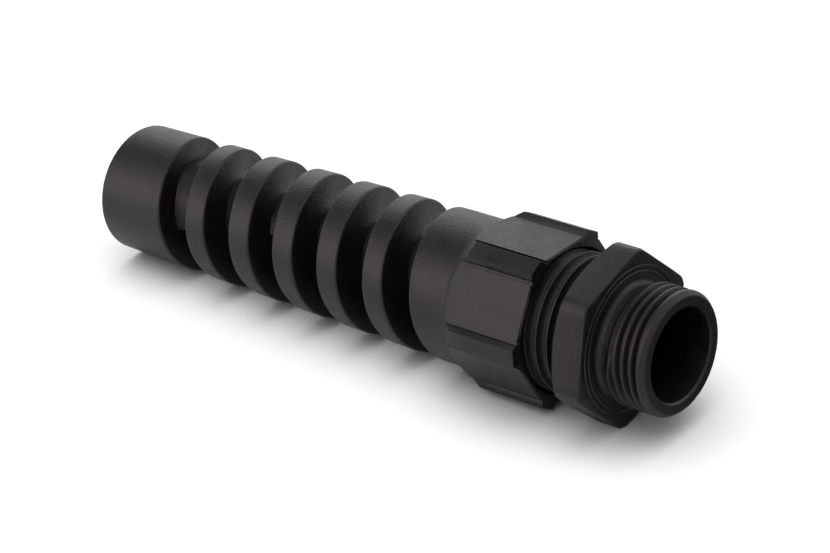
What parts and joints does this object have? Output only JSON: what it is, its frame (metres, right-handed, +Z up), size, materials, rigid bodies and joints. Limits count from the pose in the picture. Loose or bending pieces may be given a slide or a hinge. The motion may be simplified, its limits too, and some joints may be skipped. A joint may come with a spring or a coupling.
{
  "type": "cable gland with spiral bend protection",
  "caption": "Black moulded cable gland whose dome nut carries a spiral sleeve, which clamps, seals and relieves the strain of a cable where it enters an enclosure.",
  "frame": {"origin": "on the gland axis, in the plane of the sealing lip that seats on the wall", "axes": "+X along the gland axis out of the entry thread, the spiral sleeve towards -X; +Z up as the part lies in the picture, -Y towards its front"},
  "size_m": [0.1141, 0.0282, 0.0268],
  "materials": {
    "body_polyamide": "moulded satin black",
    "seal_rubber": "matt black elastomer",
    "nut_polyamide": "moulded satin black"
  },
  "bodies": {
    "body": {"gland_body": "body_polyamide"},
    "insert": {"sealing_insert": "seal_rubber"},
    "nut": {"spiral_nut": "nut_polyamide"}
  },
  "joints": [
    {"name": "nut_turn", "type": "hinge", "parent": "body", "child": "insert", "pos_m": [0, 0, 0], "axis": [1, 0, 0], "range_deg": [-540, 1080]},
    {"name": "nut_travel", "type": "slide", "parent": "insert", "child": "nut", "axis": [1, 0, 0], "range_m": [-0.003, 0.006]}
  ],
  "couplings": [
    {"joint": "nut_travel", "follows": "nut_turn", "m_per_rad": 0.00031831}
  ]
}
